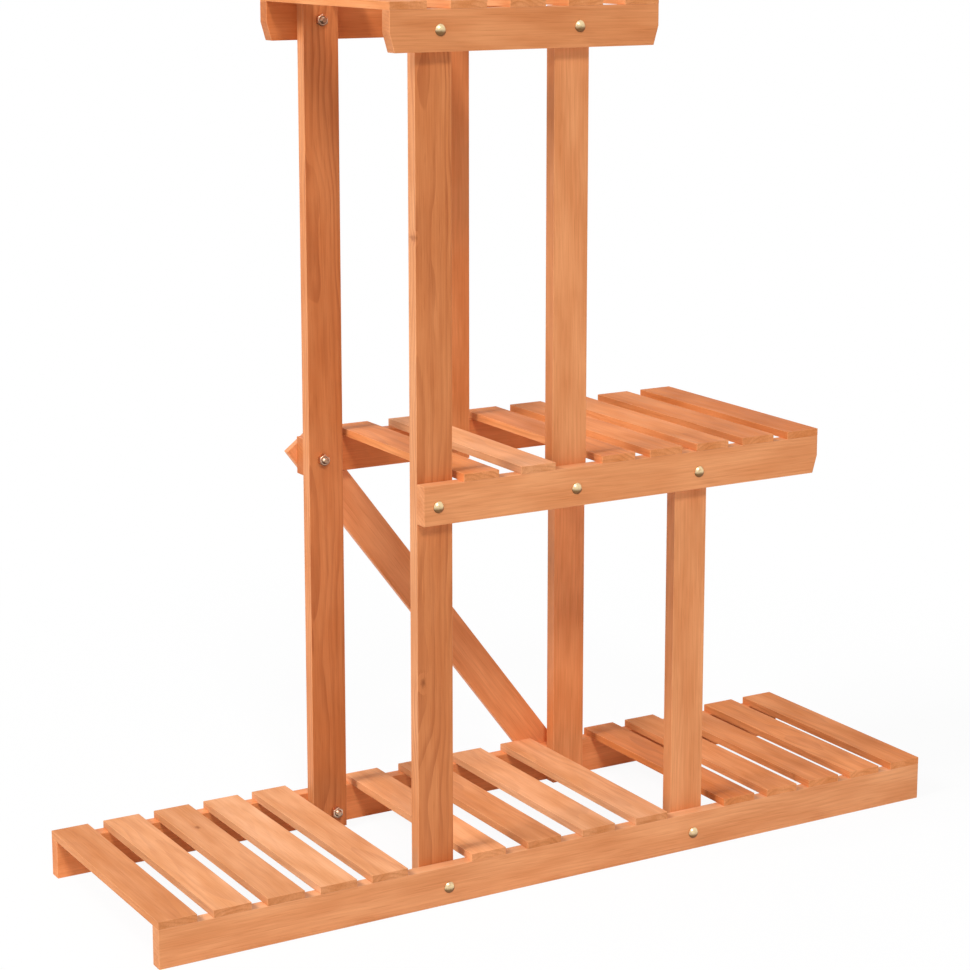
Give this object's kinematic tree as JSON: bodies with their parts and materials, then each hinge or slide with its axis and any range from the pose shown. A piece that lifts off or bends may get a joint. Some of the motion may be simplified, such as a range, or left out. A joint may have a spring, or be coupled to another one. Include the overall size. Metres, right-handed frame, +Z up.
{
  "type": "tiered plant stand",
  "caption": "Stepped wooden plant stand: slatted shelves at rising heights on flat posts, with a diagonal back brace and dome-head bolts.",
  "frame": {"origin": "on the floor, in the middle of the stand's outline in plan", "axes": "+X along the shelves from the tall end's side to the low right end, +Y from front to back, +Z up"},
  "size_m": [0.829, 0.2636, 0.809],
  "materials": {
    "frame_wood": "satin honey-orange stain on softwood",
    "slat_wood": "satin honey-orange stain on softwood",
    "bolt_metal": "bright pale-yellow zinc plating"
  },
  "bodies": {
    "root": {"lower_front_rail": "frame_wood", "lower_back_rail": "frame_wood", "middle_front_rail": "frame_wood", "middle_back_rail": "frame_wood", "upper_front_rail": "frame_wood", "upper_back_rail": "frame_wood", "left_front_post": "frame_wood", "left_back_post": "frame_wood", "middle_front_post": "frame_wood", "middle_back_post": "frame_wood", "right_front_post": "frame_wood", "right_back_post": "frame_wood", "diagonal_brace": "frame_wood", "lower_slat_01": "slat_wood", "lower_slat_02": "slat_wood", "lower_slat_03": "slat_wood", "lower_slat_04": "slat_wood", "lower_slat_05": "slat_wood", "lower_slat_06": "slat_wood", "lower_slat_07": "slat_wood", "lower_slat_08": "slat_wood", "lower_slat_09": "slat_wood", "lower_slat_10": "slat_wood", "lower_slat_11": "slat_wood", "lower_slat_12": "slat_wood", "lower_slat_13": "slat_wood", "lower_slat_14": "slat_wood", "middle_slat_01": "slat_wood", "middle_slat_02": "slat_wood", "middle_slat_03": "slat_wood", "middle_slat_04": "slat_wood", "middle_slat_05": "slat_wood", "middle_slat_06": "slat_wood", "middle_slat_07": "slat_wood", "upper_slat_01": "slat_wood", "upper_slat_02": "slat_wood", "upper_slat_03": "slat_wood", "upper_slat_04": "slat_wood", "upper_slat_05": "slat_wood", "bolt_lower_left_front": "bolt_metal", "bolt_lower_left_back": "bolt_metal", "bolt_lower_right_front": "bolt_metal", "bolt_lower_right_back": "bolt_metal", "bolt_middle_left_front": "bolt_metal", "bolt_middle_left_back": "bolt_metal", "bolt_middle_middle_front": "bolt_metal", "bolt_middle_middle_back": "bolt_metal", "bolt_middle_right_front": "bolt_metal", "bolt_middle_right_back": "bolt_metal", "bolt_upper_left_front": "bolt_metal", "bolt_upper_left_back": "bolt_metal", "bolt_upper_middle_front": "bolt_metal", "bolt_upper_middle_back": "bolt_metal"}
  },
  "joints": []
}
